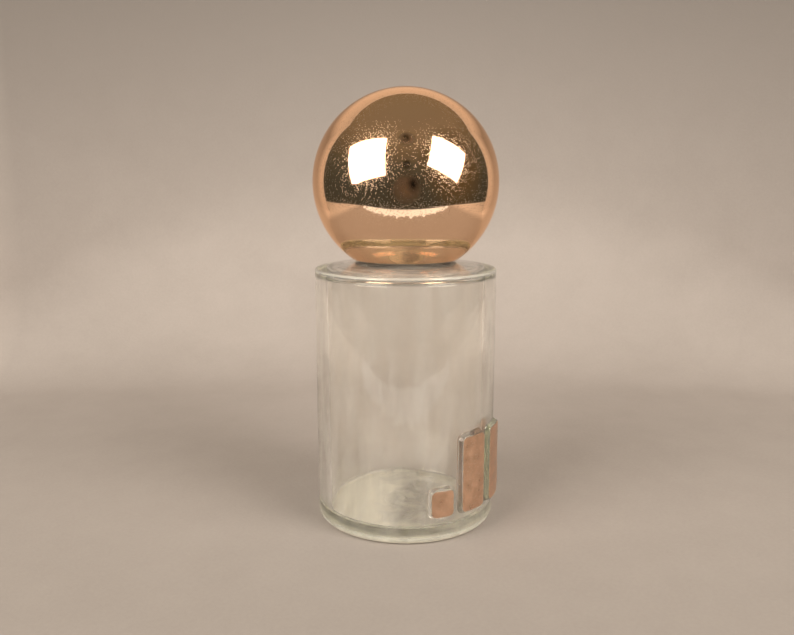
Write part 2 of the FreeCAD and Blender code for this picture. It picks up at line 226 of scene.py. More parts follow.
# ---------------------------------------------------------------- node helpers
class Nodes:
    """A short way to write a material's node tree."""

    def __init__(self, name):
        self.material = bpy.data.materials.new(name)
        self.material.use_nodes = True
        self.tree = self.material.node_tree
        self.tree.nodes.clear()
        self.output = self.tree.nodes.new("ShaderNodeOutputMaterial")

    def add(self, kind, inputs=None, **settings):
        """A node with its settings and inputs, which are values or sockets."""
        node = self.tree.nodes.new(f"ShaderNode{kind}")
        for key, value in settings.items():
            setattr(node, key, value)
        for key, value in (inputs or {}).items():
            socket = node.inputs[key]
            if isinstance(value, bpy.types.NodeSocket):
                self.tree.links.new(value, socket)
            else:
                socket.default_value = value
        return node

    def place(self, scale=(1000, 1000, 1000), turn=(0, 0, 0), shift=(0, 0, 0)):
        """The point on the piece, in millimetres unless scaled otherwise."""
        where = self.add("TexCoord").outputs["Object"]
        inputs = {"Vector": where, "Scale": scale, "Rotation": turn, "Location": shift}
        return self.add("Mapping", inputs).outputs["Vector"]

    def noise(self, place, scale, detail=2.0, roughness=0.5, distortion=0.0):
        """Smooth noise from 0 to 1."""
        inputs = {"Vector": place, "Scale": scale, "Detail": detail,
                  "Roughness": roughness, "Distortion": distortion}
        return self.add("TexNoise", inputs).outputs["Fac"]

    def span(self, value, low, high, to_low=0.0, to_high=1.0):
        """A value mapped from one span to another and held inside it."""
        inputs = {"Value": value, "From Min": low, "From Max": high,
                  "To Min": to_low, "To Max": to_high}
        return self.add("MapRange", inputs).outputs["Result"]

    def math(self, operation, first, second=0.0):
        """One step of arithmetic."""
        return self.add("Math", {0: first, 1: second}, operation=operation).outputs[0]

    def mix(self, factor, first, second):
        """A colour between two colours."""
        node = self.add("Mix", data_type="RGBA")
        for socket, value in ((node.inputs[0], factor), (node.inputs[6], first),
                              (node.inputs[7], second)):
            if isinstance(value, bpy.types.NodeSocket):
                self.tree.links.new(value, socket)
            else:
                socket.default_value = value
        return node.outputs[2]

    def bump(self, height, distance, strength=1.0, before=None):
        """A bumped normal, on top of an earlier one if given."""
        inputs = {"Height": height, "Distance": distance, "Strength": strength}
        if before is not None:
            inputs["Normal"] = before
        return self.add("Bump", inputs).outputs["Normal"]

    def surface(self, shader):
        """Show a shader on the surface."""
        self.tree.links.new(shader, self.output.inputs["Surface"])

    def scratches(self, turn, length=0.12, width=2.2, cut=0.66, shift=(0, 0, 0)):
        """A mask of fine straight scratches that run along one direction."""
        place = self.place(scale=(1000 * length, 1000 * width, 1000 * width), turn=turn,
                           shift=shift)
        lines = self.noise(place, 1.0, detail=1.0)
        return self.span(lines, cut, cut + 0.05)


def colour(red, green, blue):
    """A linear colour with full alpha."""
    return (red, green, blue, 1.0)


# ---------------------------------------------------------------- materials
# the level direction in which the dried residue lies thickest
RESIDUE_SIDE = (-0.545, 0.839, 0.0)


def floor_residue(n, place, height, reach, cloud):
    """A dried film on the inner floor, thickest to one side."""
    floor = BASE / MM
    wall = INNER_R / MM
    over = n.span(height, floor - 0.9, floor - 0.5)
    under = n.span(height, floor + 0.5, floor + 2.6, 1.0, 0.0)
    within = n.span(reach, wall - 0.9, wall + 0.4, 1.0, 0.0)
    on_floor = n.math("MULTIPLY", n.math("MULTIPLY", under, over), within)
    lean = n.add("VectorMath", {0: place, 1: RESIDUE_SIDE}, operation="DOT_PRODUCT")
    pooled = n.math("ADD", n.math("MULTIPLY", lean.outputs["Value"], 0.035), cloud)
    return n.math("MULTIPLY", on_floor, n.span(pooled, 0.25, 0.80, 0.12, 0.98))


def base_wear(n, height, reach, cloud):
    """Wear under the base, heavier out at the ring that the bottle stands on."""
    underside = n.span(height, 0.7, 1.1, 1.0, 0.0)
    ragged = n.math("ADD", reach, n.math("MULTIPLY", cloud, 6.0))
    return n.math("MULTIPLY", underside, n.span(ragged, 17.0, 22.5, 0.15, 0.85))


def heel_wear(n, height, film):
    """A dull, slightly streaky heel."""
    return n.math("MULTIPLY", n.span(height, 1.2, 3.6, 1.0, 0.0), n.span(film, 0.35, 0.65, 0.42, 0.60))


def brow_wear(n, height, reach):
    """A dull line round the shoulder's outer edge."""
    edge_z = SHOULDER_Z / MM
    edge_r = BODY_R / MM
    brow = n.math("MULTIPLY", n.span(height, edge_z - 1.4, edge_z - 0.4),
                  n.span(reach, edge_r - 1.7, edge_r - 0.5))
    return n.math("MULTIPLY", brow, 0.30)


def handling_marks(n):
    """Fine scratches in two directions."""
    fine = n.scratches((0.2, 0.9, 0.4), length=0.10, width=3.0, cut=0.70)
    cross = n.scratches((1.2, -0.3, 2.0), length=0.13, width=3.4, cut=0.71)
    return n.math("MAXIMUM", fine, cross)


def glass_material():
    """Clear moulded glass, faintly yellow-green, with handling marks and dried residue."""
    n = Nodes("clear_glass")
    place = n.place()
    split = n.add("SeparateXYZ", {"Vector": place})
    height = split.outputs["Z"]
    level = n.add("CombineXYZ", {"X": split.outputs["X"], "Y": split.outputs["Y"]})
    reach = n.add("VectorMath", {0: level.outputs[0]}, operation="LENGTH").outputs["Value"]
    cloud = n.noise(place, 0.11, detail=4.0, roughness=0.6, distortion=0.7)
    film = n.noise(n.place(scale=(260, 260, 60)), 1.0, detail=3.0, distortion=0.4)
    residue = floor_residue(n, place, height, reach, cloud)
    for worn in (base_wear(n, height, reach, cloud), heel_wear(n, height, film),
                 brow_wear(n, height, reach)):
        residue = n.math("MAXIMUM", residue, worn)
    haze = n.span(film, 0.36, 0.70, 0.025, 0.105)
    haze = n.math("MULTIPLY", haze, n.span(height, 8.0, 45.0, 1.5, 1.0))
    veil = n.math("MAXIMUM", residue, haze)
    marks = handling_marks(n)
    smear = n.span(n.noise(place, 0.16, detail=5.0, distortion=1.5), 0.58, 0.78)
    rough = n.math("ADD", n.math("MULTIPLY", smear, 0.05), n.math("MULTIPLY", marks, 0.12))
    rough = n.math("ADD", rough, n.math("MULTIPLY", residue, 0.15))
    normal = n.bump(n.noise(place, 0.11, detail=2.0), 0.06 * MM)
    normal = n.bump(marks, 0.004 * MM, before=normal)
    shader = n.add("BsdfPrincipled", {
        "Base Color": n.mix(residue, colour(1.0, 0.980, 0.960), colour(1.0, 0.980, 0.850)),
        "Transmission Weight": n.math("SUBTRACT", 1.0, veil),
        "IOR": 1.52,
        "Roughness": rough,
        "Normal": normal,
    })
    n.surface(shader.outputs[0])
    tint = n.add("VolumeAbsorption", {"Color": colour(0.82, 0.90, 0.52), "Density": 7.0})
    n.tree.links.new(tint.outputs[0], n.output.inputs["Volume"])
    return n.material


def pit_mask(n, place):
    """Small round pits, crowded in some places and scarce in others."""
    crowding = n.span(n.noise(place, 0.055, detail=2.0), 0.35, 0.65, 0.20, 0.65)
    cells = n.add("TexVoronoi", {"Vector": place, "Scale": 3.0, "Randomness": 1.0}, feature="F1")
    chance = n.add("SeparateColor", {"Color": cells.outputs["Color"]}).outputs["Red"]
    pitted = n.math("LESS_THAN", chance, crowding)
    return n.math("MULTIPLY", pitted, n.span(cells.outputs["Distance"], 0.03, 0.31, 1.0, 0.0))


def ball_material():
    """Copper mirror metallising, with pits, haze and scratches, and bare plastic inside and on the
    foot, painted dark for the shade under and inside the ball.
    """
    n = Nodes("copper_mirror")
    place = n.place()
    pit = pit_mask(n, place)
    grain = n.noise(place, 3.2, detail=3.0, roughness=0.6)
    swell = n.noise(place, 0.10, detail=1.0)
    rubs = n.scratches((0.5, 0.3, 0.2), length=0.16, width=3.0, cut=0.66)
    cross = n.scratches((-0.6, 1.1, 0.9), length=0.14, width=2.6, cut=0.68)
    marks = n.math("MAXIMUM", rubs, cross)
    haze = n.span(n.noise(place, 0.07, detail=4.0, distortion=0.8), 0.40, 0.72)
    rough = n.math("ADD", n.math("MULTIPLY", haze, 0.05), 0.03)
    rough = n.math("ADD", rough, n.math("MULTIPLY", marks, 0.10))
    normal = n.bump(swell, 0.004 * MM)
    normal = n.bump(grain, 0.0018 * MM, before=normal)
    normal = n.bump(n.math("SUBTRACT", 1.0, pit), 0.024 * MM, before=normal)
    normal = n.bump(marks, 0.004 * MM, before=normal)
    tone = n.noise(place, 0.05, detail=3.0)
    base = n.mix(tone, colour(0.93, 0.62, 0.41), colour(0.96, 0.66, 0.45))
    base = n.mix(n.math("MULTIPLY", pit, 0.35), base, colour(0.42, 0.25, 0.13))
    centre = (0, 0, BALL_Z / MM)
    reach = n.add("VectorMath", {0: place, 1: centre}, operation="DISTANCE").outputs["Value"]
    # bare plastic inside the ball and on its foot, its dark brown colour painted shade
    inside = n.span(reach, BALL_R / MM - 0.30, BALL_R / MM - 0.12, 1.0, 0.0)
    base = n.mix(inside, base, colour(0.20, 0.155, 0.115))
    rough = n.math("MAXIMUM", rough, n.math("MULTIPLY", inside, 0.5))
    shader = n.add("BsdfPrincipled", {
        "Base Color": base,
        "Metallic": n.span(inside, 0.0, 1.0, 1.0, 0.35),
        "Specular Tint": colour(1.0, 0.84, 0.70),
        "Roughness": rough,
        "Normal": normal,
    })
    n.surface(shader.outputs[0])
    return n.material


def gilding_material():
    """Satin copper lacquer, rubbed thin and scratched."""
    n = Nodes("copper_gilding")
    place = n.place()
    grain = n.noise(place, 4.0, detail=4.0, roughness=0.7)
    cloud = n.noise(place, 0.35, detail=4.0)
    rub = n.scratches((0.1, 0.5, 1.1), length=0.5, width=5.0, cut=0.66)
    base = n.mix(n.span(cloud, 0.3, 0.7), colour(0.58, 0.360, 0.240), colour(0.78, 0.50, 0.345))
    base = n.mix(n.span(grain, 0.60, 0.76, 0.0, 0.6), base, colour(0.82, 0.60, 0.46))
    base = n.mix(n.math("MULTIPLY", rub, 0.6), base, colour(0.86, 0.72, 0.60))
    rough = n.span(cloud, 0.3, 0.7, 0.26, 0.42)
    normal = n.bump(grain, 0.012 * MM)
    normal = n.bump(rub, 0.008 * MM, before=normal)
    shader = n.add("BsdfPrincipled", {
        "Base Color": base,
        "Metallic": 0.9,
        "Roughness": rough,
        "Normal": normal,
    })
    n.surface(shader.outputs[0])
    return n.material


def plastic_material(name, light, dark, rough, sheen_scale, translucency=0.0):
    """A moulded plastic with flow marks and fine scuffs."""
    n = Nodes(name)
    place = n.place()
    flow = n.noise(place, sheen_scale, detail=3.0, distortion=0.6)
    grain = n.noise(place, 7.0, detail=2.0)
    scuff = n.scratches((0.7, 0.2, 0.5), length=0.4, width=4.0, cut=0.68)
    base = n.mix(n.span(flow, 0.3, 0.7), dark, light)
    base = n.mix(n.math("MULTIPLY", scuff, 0.25), base, colour(0.95, 0.95, 0.94))
    normal = n.bump(grain, 0.006 * MM)
    normal = n.bump(scuff, 0.006 * MM, before=normal)
    shader = n.add("BsdfPrincipled", {
        "Base Color": base,
        "Roughness": n.span(flow, 0.3, 0.7, rough - 0.06, rough + 0.06),
        "Subsurface Weight": translucency,
        "Subsurface Radius": (1.0, 1.0, 0.9),
        "Subsurface Scale": 1.2 * MM,
        "Normal": normal,
    })
    n.surface(shader.outputs[0])
    return n.material


def foam_material():
    """Closed-cell foam with an open cut edge, each cell painted darker in its hollow as shade."""
    n = Nodes("liner_foam")
    place = n.place()
    cells = n.add("TexVoronoi", {"Vector": place, "Scale": 3.5}, feature="F1").outputs["Distance"]
    # painted shade: each cell darker at its middle, where the bump makes its hollow
    base = n.mix(n.span(cells, 0.1, 0.6), colour(0.66, 0.66, 0.63), colour(0.84, 0.84, 0.81))
    shader = n.add("BsdfPrincipled", {
        "Base Color": base,
        "Roughness": n.span(cells, 0.0, 0.6, 0.5, 0.75),
        "Normal": n.bump(cells, 0.05 * MM),
    })
    n.surface(shader.outputs[0])
    return n.material


# ---------------------------------------------------------------- the raised bars
def bar_list():
    """Each bar's name, its middle angle, half its width, and its low and high ends."""
    bars = []
    for size, span, top in (("tall", TALL_SPAN, TALL_TOP), ("short", SHORT_SPAN, SHORT_TOP)):
        middle = (span[0] + span[1]) / 2
        half = (span[1] - span[0]) / 2 * BODY_R
        bars.append((f"{size}_left", FRONT - middle, half, BAR_FOOT, top))
        bars.append((f"{size}_right", FRONT + middle, half, BAR_FOOT, top))
    return bars


def edge_distance(bar, turn, height):
    """How far a point on the wall is outside a bar's outline; negative inside."""
    _, middle, half, low, high = bar
    across = (np.mod(turn - middle + math.pi, 2 * math.pi) - math.pi) * BODY_R
    up = height - (low + high) / 2
    from_x = np.abs(across) - (half - BAR_CORNER)
    from_z = np.abs(up) - ((high - low) / 2 - BAR_CORNER)
    outside = np.hypot(np.maximum(from_x, 0), np.maximum(from_z, 0))
    inside = np.minimum(np.maximum(from_x, from_z), 0)
    return outside + inside - BAR_CORNER


def relief_height(turn, height):
    """How far the bars stand out of the wall."""
    raised = np.zeros_like(turn)
    for bar in bar_list():
        rise = np.clip(-edge_distance(bar, turn, height) / BEVEL, 0, 1)
        rise = rise * rise * (3 - 2 * rise)
        raised = np.maximum(raised, rise * RELIEF)
    return raised


# ---------------------------------------------------------------- the glass
def thread_height(turn, height, root, crest, crest_half, first_turn=0.0, inward=False):
    """How far a screw ridge stands out of a wall, fading at both ends."""
    start = SHOULDER_Z + THREAD_RISE
    turn = np.mod(turn - first_turn, 2 * math.pi)
    best = np.zeros_like(turn)
    depth = abs(crest - root)
    for lap in range(-1, 3):
        along = turn + lap * 2 * math.pi
        middle = start + THREAD_PITCH * along / (2 * math.pi)
        off = np.abs(height - middle)
        rise = np.clip((crest_half + depth * THREAD_SLOPE - off) / (depth * THREAD_SLOPE), 0, 1)
        rise = rise * rise * (3 - 2 * rise)
        span = THREAD_TURNS * 2 * math.pi
        ends = np.clip(np.minimum(along, span - along) / THREAD_FADE, 0, 1)
        best = np.maximum(best, rise * depth * ends)
    return -best if inward else best


def dome_height(radius, depth=0.0):
    """The height of the domed shoulder, or of the dome a depth below it."""
    return DOME_Z + math.sqrt((DOME_R - depth) ** 2 - radius ** 2)


def dome_corners(start, finish, depth, steps=9):
    """Points along the dome from one radius to another."""
    return [(r, dome_height(r, depth)) for r in np.linspace(start, finish, steps)]


def bottle_angles():
    """Columns of the glass, close together where the bars are."""
    edge = SHORT_SPAN[1] + math.radians(4)
    fine = np.arange(FRONT - edge, FRONT + edge, math.radians(0.45))
    coarse = np.linspace(FRONT + edge, FRONT - edge + 2 * math.pi, 108)[:-1]
    return np.concatenate([fine, coarse])


def bottle_spacing(point):
    """Row spacing along the glass, close together at the bars and the thread."""
    on_wall = point.x > BODY_R - 0.1 * MM
    if on_wall and BAR_FOOT - 1 * MM < point.y < TALL_TOP + 1 * MM:
        return 0.23 * MM
    if point.y > SHOULDER_Z - 0.1 * MM and point.x < NECK_R + 0.1 * MM and point.x > BORE_R:
        return 0.22 * MM
    if point.x < 9 * MM and point.y < BASE + 1 * MM:
        return 0.3 * MM
    return 2.2 * MM


def inner_unevenness(height, turn, ceiling):
    """How far the inner wall leans in, easing out at the floor and under the shoulder."""
    wave = np.sin(2 * turn + 1.1) * 0.5 + np.sin(3 * turn - height / (9 * MM)) * 0.35
    wave += np.sin(5 * turn + height / (14 * MM) + 2.0) * 0.15
    settle = np.exp(-((height - 18 * MM) / (14 * MM)) ** 2) * 0.12 * MM
    ease = np.clip((height - BASE - 1.6 * MM) / (6 * MM), 0, 1)
    ease = ease * np.clip((ceiling - 1.8 * MM - height) / (6 * MM), 0, 1)
    return (wave * 0.10 * MM + settle) * ease


def floor_unevenness(radius, turn):
    """The inner floor's crown, mould rings and ripple."""
    reach = radius / INNER_R
    crown = 0.35 * MM * np.maximum(1 - reach ** 2, 0)
    ring = 0.16 * MM * np.exp(-((radius - 6.3 * MM) / (0.5 * MM)) ** 2)
    ring += 0.10 * MM * np.exp(-((radius - 3.0 * MM) / (0.4 * MM)) ** 2)
    ripple = 0.05 * MM * np.sin(3 * turn + radius / (2.6 * MM)) * np.clip(1 - reach, 0, 1) * 2
    return crown - ring + ripple


def bottle_shape(radius, height, turn):
    """Add the bars, the thread and the unevenness of moulded glass."""
    wall = (radius > BODY_R - 1e-6) & (height > 3 * MM) & (height < SHOULDER_Z - 1 * MM)
    radius = radius + np.where(wall, relief_height(turn, height), 0)
    neck = (np.abs(radius - NECK_R) < 1e-6) & (height > dome_height(NECK_R))
    screw = thread_height(turn, height, NECK_R, THREAD_CREST, THREAD_CREST_HALF)
    radius = radius + np.where(neck, screw, 0)
    ceiling = dome_height(INNER_R, SHOULDER_THICK)
    inner = (np.abs(radius - INNER_R) < 1e-6) & (height > BASE) & (height < ceiling)
    radius = radius - np.where(inner, inner_unevenness(height, turn, ceiling), 0)
    floor = np.abs(height - BASE) < 0.01 * MM
    height = height + np.where(floor, floor_unevenness(radius, turn), 0)
    return radius, height


def make_glass():
    """The glass: base, wall with raised bars, shoulder, threaded neck and hollow."""
    corners = [(0, PUSH_UP), (PUSH_UP_R, PUSH_UP), (FOOT_R, 0), (BODY_R, 0)]
    rounds = {1: 6 * MM, 2: 2.5 * MM, 3: HEEL_ROUND, 4: BROW_ROUND}
    corners += dome_corners(BODY_R, NECK_R, 0.0)
    rounds[len(corners) - 1] = 0.9 * MM
    corners += [(NECK_R, NECK_TOP), (BORE_R, NECK_TOP)]
    rounds[len(corners) - 2] = 0.5 * MM
    rounds[len(corners) - 1] = 0.3 * MM
    inside = dome_corners(BORE_R, INNER_R, SHOULDER_THICK)
    rounds[len(corners)] = 1.5 * MM
    corners += inside
    rounds[len(corners) - 1] = 1.8 * MM
    corners += [(INNER_R, BASE), (0, BASE)]
    rounds[len(corners) - 2] = 1.6 * MM
    path = dense_path(corners, rounds, bottle_spacing)
    glass = lathe("glass_bottle", path, bottle_angles(), bottle_shape)
    smooth(glass, math.radians(60))
    glass.data.materials.append(glass_material())
    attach(glass, "bottle")
    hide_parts("bottle")


# ---------------------------------------------------------------- gilding
FILM_STEP = 0.13 * MM
FILM_HALF = 0.05 * MM


def film_edge(bar, turn, height):
    """Negative where the film holds, inside its uneven edge and worn top; in millimetres."""
    top = bar[4] / MM
    x = turn * BODY_R / MM
    z = height / MM
    ragged = 0.10 * np.sin(7.1 * x + 1.9 * z) * np.sin(5.3 * z - 2.2 * x)
    ragged += 0.07 * np.sin(13.7 * x + 3.0) * np.sin(11.9 * z + 1.0)
    gap = edge_distance(bar, turn, height) / MM + (BAR_INSET - FILM_HALF) / MM + ragged * 0.8
    near_top = np.clip((z - (top - 3.4)) / 2.4, 0, 1)
    streak = np.sin(2.1 * x + 3.3 * z) * np.sin(9.7 * z - 1.3 * x) + 0.6 * np.sin(17 * x + 4 * z)
    worn = (near_top * (streak + 1.6) - 2.3) * 0.9
    return np.maximum(gap, worn)


def film_grid(bar):
    """A grid over the bar, drawn in to the film's edge, and the cells that the film keeps."""
    _, middle, half, low, high = bar
    columns = max(8, round(2 * half / FILM_STEP))
    rows = max(8, round((high - low) / FILM_STEP))
    across = np.linspace(-half, half, columns + 1)
    up = np.linspace(low, high, rows + 1)
    turn, height = np.meshgrid(middle + across / BODY_R, up)
    value = film_edge(bar, turn, height)
    probe = 0.01 * MM
    slope_x = (film_edge(bar, turn + probe / BODY_R, height) - value) / (probe / MM)
    slope_z = (film_edge(bar, turn, height + probe) - value) / (probe / MM)
    steep = np.maximum(slope_x ** 2 + slope_z ** 2, 0.05)
    held = value < 0
    keep = held[:-1, :-1] & held[1:, :-1] | held[:-1, 1:] & held[1:, 1:]
    pull = np.where(held, 0, np.clip(value, 0, FILM_STEP / MM))
    turn = turn - pull * slope_x / steep * MM / BODY_R
    height = height - pull * slope_z / steep * MM
    return turn, height, keep


def film_faces(index, keep):
    """Both sides of the film, and its rim where a kept cell has none beside it."""
    count = index.size
    padded = np.pad(keep, 1)
    faces = []
    for row, column in np.argwhere(keep).tolist():
        a, b = int(index[row, column]), int(index[row, column + 1])
        c, d = int(index[row + 1, column + 1]), int(index[row + 1, column])
        faces.append([a, b, c, d])
        faces.append([d + count, c + count, b + count, a + count])
        beside = ((row, column + 1, a, b), (row + 1, column + 2, b, c),
                  (row + 2, column + 1, c, d), (row + 1, column, d, a))
        for near_row, near_column, start, finish in beside:
            if not padded[near_row, near_column]:
                faces.append([start, start + count, finish + count, finish])
    return faces


def make_film(bar, material):
    """The copper film on one bar: a thin sheet with a worn, uneven edge."""
    name = bar[0]
    turn, height, keep = film_grid(bar)
    middle = BODY_R + relief_height(turn, height)
    verts = np.concatenate([
        np.stack([shell * np.cos(turn), shell * np.sin(turn), height], axis=-1).reshape(-1, 3)
        for shell in (middle + FILM_HALF, middle - FILM_HALF)])
    index = np.arange(turn.size).reshape(turn.shape)
    mesh = bpy.data.meshes.new(f"gilding_{name}_film")
    mesh.from_pydata(verts.tolist(), [], film_faces(index, keep))
    film = bpy.data.objects.new(f"gilding_{name}_film", mesh)
    bpy.context.scene.collection.objects.link(film)
    drop_loose(film)
    smooth(film, math.radians(50))
    film.data.materials.append(material)
    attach(film, "bottle")
    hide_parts(f"gilding_{name}")


# ---------------------------------------------------------------- the cap
def sphere_arc(start_z, finish_z, radius, steps):
    """Points on a sphere about the ball's centre, from one height to another."""
    start = math.asin((start_z - BALL_Z) / radius)
    finish = math.asin(max(-1.0, min(1.0, (finish_z - BALL_Z) / radius)))
    return [
        Vector((radius * math.cos(a), BALL_Z + radius * math.sin(a)))
        for a in np.linspace(start, finish, steps)]


def lower_shell_path():
    """The lower shell's closed section: foot, outer skin, lap, inner skin and socket."""
    socket_r = INSERT_HIGH.x + FIT_GAP
    socket_out = socket_r + SOCKET_WALL
    ceiling = INSERT_HIGH.z + FIT_GAP
    floor_top = BALL_FOOT_Z + BALL_WALL
    centre = 0.1 * MM
    foot_r = math.sqrt(BALL_R ** 2 - (BALL_Z - BALL_FOOT_Z) ** 2)
    skin = sphere_arc(BALL_FOOT_Z + 0.9 * MM, BALL_Z, BALL_R, 56)
    foot = [(socket_r, BALL_FOOT_Z), (foot_r, BALL_FOOT_Z), skin[0]]
    path = dense_path(foot, {1: 0.5 * MM}, 0.8 * MM) + skin[1:]
    path += [Vector((LAP_R, BALL_Z)), Vector((LAP_R, LAP_TOP))]
    path += sphere_arc(LAP_TOP, floor_top, BALL_INNER, 40)
    path += [Vector((socket_out, floor_top)), Vector((socket_out, ceiling + SOCKET_ROOF))]
    path += [Vector((centre, ceiling + SOCKET_ROOF)), Vector((centre, ceiling))]
    return path + [Vector((socket_r, ceiling))]


def upper_shell_path():
    """The upper shell's section, from its inner crown round the lap to its outer crown."""
    rebate = LAP_TOP + FIT_GAP
    step_r = LAP_R + FIT_GAP
    path = [Vector((0.0, BALL_Z + BALL_INNER))]
    path += sphere_arc(BALL_Z + BALL_INNER, rebate, BALL_INNER, 30)[1:]
    path += [Vector((step_r, rebate)), Vector((step_r, BALL_Z))]
    path += sphere_arc(BALL_Z, BALL_Z + BALL_R, BALL_R, 72)[:-1]
    return path + [Vector((0.0, BALL_Z + BALL_R))]


def make_ball(material):
    """The ball's two shells, which meet at the equator in a lap joint."""
    angles = even_angles(240)
    low_piece = lathe("ball_lower", lower_shell_path(), angles, closed=True)
    high_piece = lathe("ball_upper", upper_shell_path(), angles)
    for piece, node in ((low_piece, "ball_lower_shell"), (high_piece, "ball_upper_shell")):
        smooth(piece, math.radians(30))
        piece.data.materials.append(material)
        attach(piece, "cap")
        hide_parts(node)


def make_insert(material):
    """The threaded cup in the ball, with ribs that grip the socket."""
    bore = 9.05 * MM
    out = 10.8 * MM
    crest = 8.05 * MM
    foot = INSERT_LOW.z
    top = INSERT_HIGH.z
    ceiling = top - 2.0 * MM
    corners = [(0, ceiling), (bore, ceiling), (bore, foot), (out, foot), (out, top), (0, top)]
    rounds = {1: 0.5 * MM, 2: 0.25 * MM, 3: 0.4 * MM, 4: 0.4 * MM}

    def spacing(point):
        """Close rows over the thread."""
        return 0.2 * MM if abs(point.x - bore) < 0.1 * MM else 0.9 * MM

    def shape(radius, height, turn):
        """Add the inner thread and the outer ribs."""
        inside = np.abs(radius - bore) < 1e-6
        screw = thread_height(turn, height, bore, crest, 0.35 * MM, first_turn=math.pi,
                              inward=True)
        radius = radius + np.where(inside, screw, 0)
        outside = (np.abs(radius - out) < 1e-6) & (height > BALL_FOOT_Z + BALL_WALL)
        ribs = 0.25 * MM * np.clip(np.cos(12 * turn) * 3 - 2, 0, 1)
        return radius + np.where(outside, ribs, 0), height

    insert = lathe("cap_insert_cup", dense_path(corners, rounds, spacing), even_angles(192), shape)
    smooth(insert, math.radians(40))
    insert.data.materials.append(material)
    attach(insert, "cap")
    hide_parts("cap_insert")


def make_liner(material):
    """The foam disc that seals on the reducer's flange."""
    edge = LINER_HIGH.x
    corners = [(0, LINER_LOW.z), (edge, LINER_LOW.z), (edge, LINER_HIGH.z), (0, LINER_HIGH.z)]
    path = dense_path(corners, {1: 0.15 * MM, 2: 0.15 * MM}, 0.5 * MM)

    def shape(radius, height, turn):
        """Press the ring that the flange leaves in the foam."""
        lower = height < LINER_LOW.z + 0.01 * MM
        ring = np.exp(-((radius - 6.6 * MM) / (0.7 * MM)) ** 2) * 0.04 * MM
        return radius, height + np.where(lower, ring, 0)

    liner = lathe("cap_liner_disc", path, even_angles(128), shape)
    smooth(liner)
    liner.data.materials.append(material)
    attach(liner, "liner")
    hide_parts("cap_liner")


def make_reducer(material):
    """The orifice reducer in the neck, with its flange and sealing ribs."""
    hole, cavity, plug = 1.25 * MM, 3.7 * MM, 4.7 * MM
    flange = REDUCER_HIGH.x
    top = REDUCER_HIGH.z
    foot = REDUCER_LOW.z
    plate = NECK_TOP - 1.0 * MM
    corners = [
        (hole, plate), (cavity, plate), (cavity, foot), (plug, foot), (plug, NECK_TOP),
        (flange, NECK_TOP), (flange, top), (hole, top), (hole, plate + 0.1 * MM),
    ]
    rounds = {1: 0.4 * MM, 2: 0.2 * MM, 3: 0.3 * MM, 4: 0.15 * MM, 6: 0.27 * MM, 7: 0.27 * MM}
    path = dense_path(corners, rounds, 0.15 * MM)

    def shape(radius, height, turn):
        """Add the three sealing ribs."""
        outside = np.abs(radius - plug) < 1e-6
        ribs = np.zeros_like(radius)
        for rib in range(3):
            middle = foot + 1.7 * MM * (rib + 0.5)
            ribs = np.maximum(ribs, np.clip(1 - np.abs(height - middle) / (0.45 * MM), 0, 1))
        return radius + np.where(outside, ribs * 0.18 * MM, 0), height

    reducer = lathe("orifice_reducer_plug", path, even_angles(128), shape, closed=True)
    smooth(reducer, math.radians(40))
    reducer.data.materials.append(material)
    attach(reducer, "bottle")
    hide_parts("orifice_reducer")


# ---------------------------------------------------------------- camera
CAMERA_AZIMUTH = math.radians(-57.0)
CAMERA_AWAY = 234.5 * MM
CAMERA_UP = 102.7 * MM
CAMERA_PITCH = math.radians(10.376)
CAMERA_YAW = math.radians(0.614)
CAMERA_LENS = 36.40
CAMERA_SENSOR = 36.0
CAMERA_CLIP = 0.01


def from_camera(right, toward, up):
    """A point given to the right of the object and towards the camera."""
    turn = Euler((0, 0, CAMERA_AZIMUTH)).to_matrix()
    return turn @ Vector((right, -toward, up))


def make_camera():
    """The camera a little above the shoulder, looking down at the bottle."""
    data = bpy.data.cameras.new("camera")
    data.lens = CAMERA_LENS
    data.sensor_width = CAMERA_SENSOR
    data.clip_start = CAMERA_CLIP
    camera = bpy.data.objects.new("camera", data)
    bpy.context.scene.collection.objects.link(camera)
    camera.location = from_camera(0, CAMERA_AWAY, CAMERA_UP)
    camera.rotation_euler = (math.radians(90) - CAMERA_PITCH, 0, CAMERA_AZIMUTH + CAMERA_YAW)
    bpy.context.scene.camera = camera


# ---------------------------------------------------------------- the paper sweep
PAPER_Z = -0.03 * MM
FLOOR_HALF = 0.42
WALL_HALF = 0.26
FRONT_REACH, FRONT_BOW = 0.175, 0.375
WALL_AWAY, WALL_BOW = 0.250, 0.140
BEND_RADIUS, BEND_TIGHTER = 0.110, 0.105
TOP_HEIGHT, TOP_BOW, TOP_TILT = 0.441, 0.109, 0.031
SWEEP_COLUMNS = 85
FLOOR_ROWS = 24
BEND_ROWS = 24
WALL_ROWS = 12

# the place on the floor, behind the bottle, where no shade is painted on the paper: the middle of a
# painted pool of light
PAINTED_LIGHT_MIDDLE = tuple(from_camera(0.0, -0.17, 0.0))


def painted_paper_shade(n, place, height):
    """How far shade is painted on the paper: in a band up its wall, and on its floor away from one
    place, which is left as a painted pool of light.
    """
    band = n.math("MULTIPLY", n.span(height, 0.06, 0.20), n.span(height, 0.20, 0.30, 1.0, 0.0))
    away = n.add("VectorMath", {0: place, 1: PAINTED_LIGHT_MIDDLE}, operation="DISTANCE")
    low = n.span(height, 0.0, 0.03, 1.0, 0.0)
    floor = n.math("MULTIPLY", low, n.span(away.outputs["Value"], 0.10, 0.24, 0.0, 0.24))
    return n.math("MAXIMUM", band, floor)


def painted_paper_margin_light(n, place, height):
    """Painted light: how far the paper's sides and top are made paler."""
    side = n.add("VectorMath", {0: place, 1: from_camera(1, 0, 0)}, operation="DOT_PRODUCT")
    aside = n.span(n.math("ABSOLUTE", side.outputs["Value"]), 0.195, 0.235)
    return n.math("MAXIMUM", aside, n.span(height, 0.205, 0.27))


